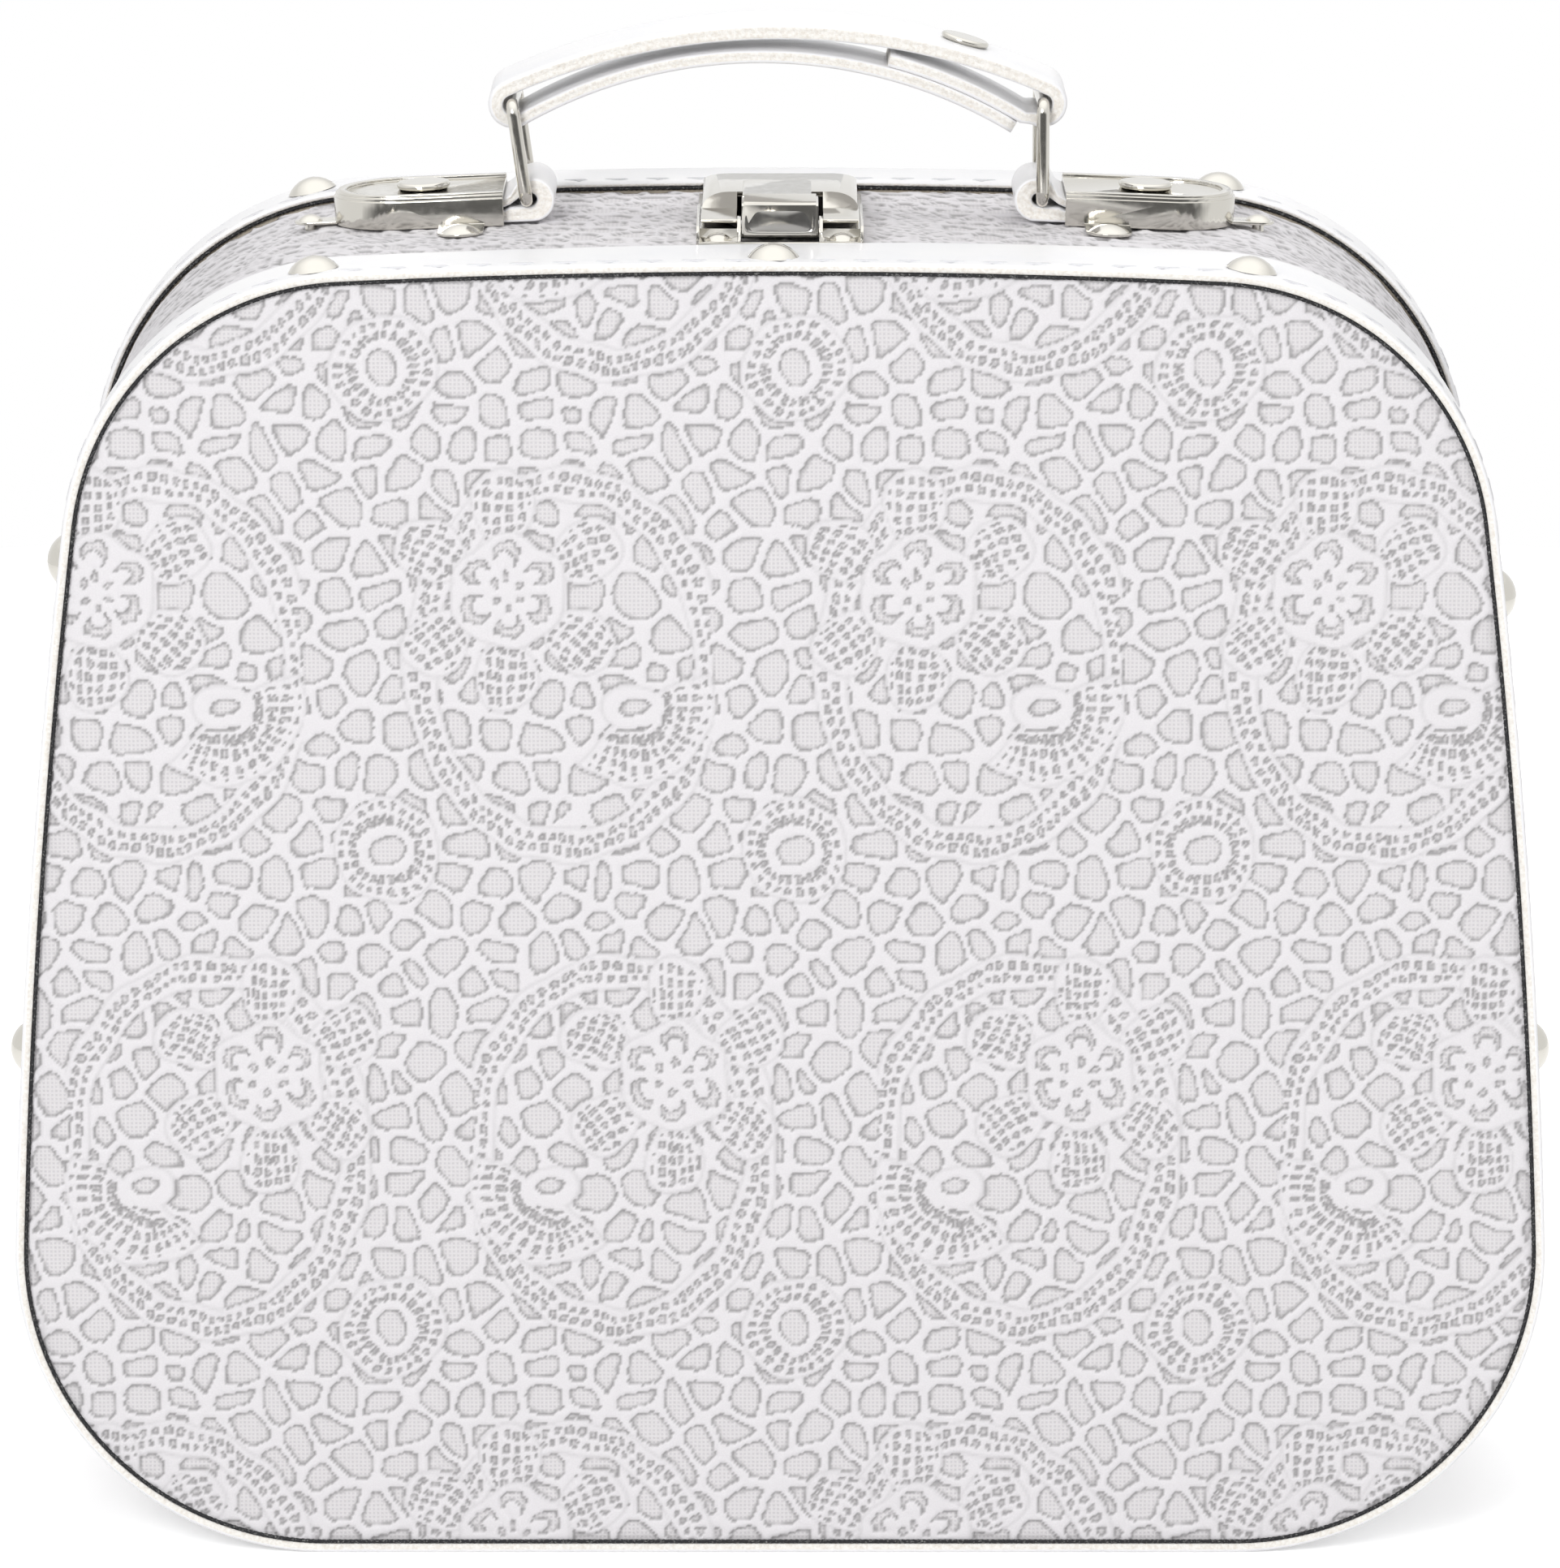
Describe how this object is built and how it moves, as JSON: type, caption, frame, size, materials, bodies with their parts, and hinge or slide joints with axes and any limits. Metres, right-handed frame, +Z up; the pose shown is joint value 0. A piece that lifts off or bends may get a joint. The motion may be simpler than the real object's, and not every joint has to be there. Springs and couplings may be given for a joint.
{
  "type": "wedding card box",
  "caption": "Small lace-covered suitcase box with bound edges, a hinged back lid, a spring latch and an arched strap handle, made to hold wedding cards.",
  "frame": {"origin": "centre of the case's footprint, on the surface that it stands on", "axes": "+X to the right seen from the lace front panel, +Y from the front panel to the hinged lid, +Z up to the handle"},
  "size_m": [0.3092, 0.1146, 0.3017],
  "materials": {
    "board": "grey-brown chipboard, the same right through",
    "lace": "pale lavender-white guipure lace on a fine woven ground",
    "binding": "smooth white leathercloth with a soft sheen",
    "edge_cord": "black twisted cord",
    "lining": "off-white woven lining",
    "nickel": "bright nickel plate, slightly warm",
    "steel": "plain bright steel",
    "strap_leather": "white coated leather with cream cut edges"
  },
  "bodies": {
    "case_body": {"front_board": "board", "body_wall": "board", "front_lace": "lace", "side_lace": "lace", "front_trim": "binding", "front_piping": "edge_cord", "front_trim_rivets": "nickel", "body_lining": "lining", "locating_lip": "board", "body_hinge_leaf_left": "nickel", "body_hinge_leaf_right": "nickel", "hinge_pin_left": "steel", "hinge_pin_right": "steel", "body_hinge_rivets": "nickel", "latch_base": "nickel", "latch_base_rivets": "nickel", "latch_pin": "steel", "latch_spring": "steel", "handle_plate_left": "nickel", "handle_plate_right": "nickel", "plate_cap_rivets": "nickel", "plate_ear_rivets": "nickel", "handle_tab_left": "strap_leather", "handle_tab_right": "strap_leather"},
    "case_lid": {"lid_board": "board", "lid_wall": "board", "lid_lace": "lace", "lid_trim": "binding", "lid_piping": "edge_cord", "lid_trim_rivets": "nickel", "lid_lining": "lining", "lid_hinge_leaf_left": "nickel", "lid_hinge_leaf_right": "nickel", "lid_hinge_rivets": "nickel", "latch_catch": "nickel", "latch_catch_rivets": "nickel"},
    "lever": {"latch_lever": "nickel"},
    "ring_left": {"handle_ring_left": "nickel"},
    "ring_right": {"handle_ring_right": "nickel"},
    "handle": {"handle_strap": "strap_leather", "strap_rivet": "nickel"}
  },
  "joints": [
    {"name": "lid_hinge", "type": "hinge", "parent": "case_body", "child": "case_lid", "pos_m": [0, 0.03995, 0.003], "axis": [-1, 0, 0], "range_deg": [0, 105]},
    {"name": "latch_lever_pivot", "type": "hinge", "parent": "case_body", "child": "lever", "pos_m": [0, -0.02765, 0.26566], "axis": [1, 0, 0], "range_deg": [0, 60], "stiffness_Nm_per_rad": 0.02, "springref_deg": -22.92},
    {"name": "ring_left_swing", "type": "hinge", "parent": "case_body", "child": "ring_left", "pos_m": [-0.0509, 0.01125, 0.26606], "axis": [0, 1, 0], "range_deg": [-30, 30]},
    {"name": "ring_right_swing", "type": "hinge", "parent": "case_body", "child": "ring_right", "pos_m": [0.0527, 0.01125, 0.26606], "axis": [0, 1, 0], "range_deg": [-30, 30]},
    {"name": "handle_tilt", "type": "hinge", "parent": "ring_left", "child": "handle", "pos_m": [-0.0536, 0.01125, 0.28547], "axis": [0, 1, 0], "range_deg": [-30, 30]}
  ],
  "couplings": [
    {"joint": "ring_right_swing", "follows": "ring_left_swing", "ratio": 0.99},
    {"joint": "handle_tilt", "follows": "ring_left_swing", "ratio": -0.975}
  ]
}
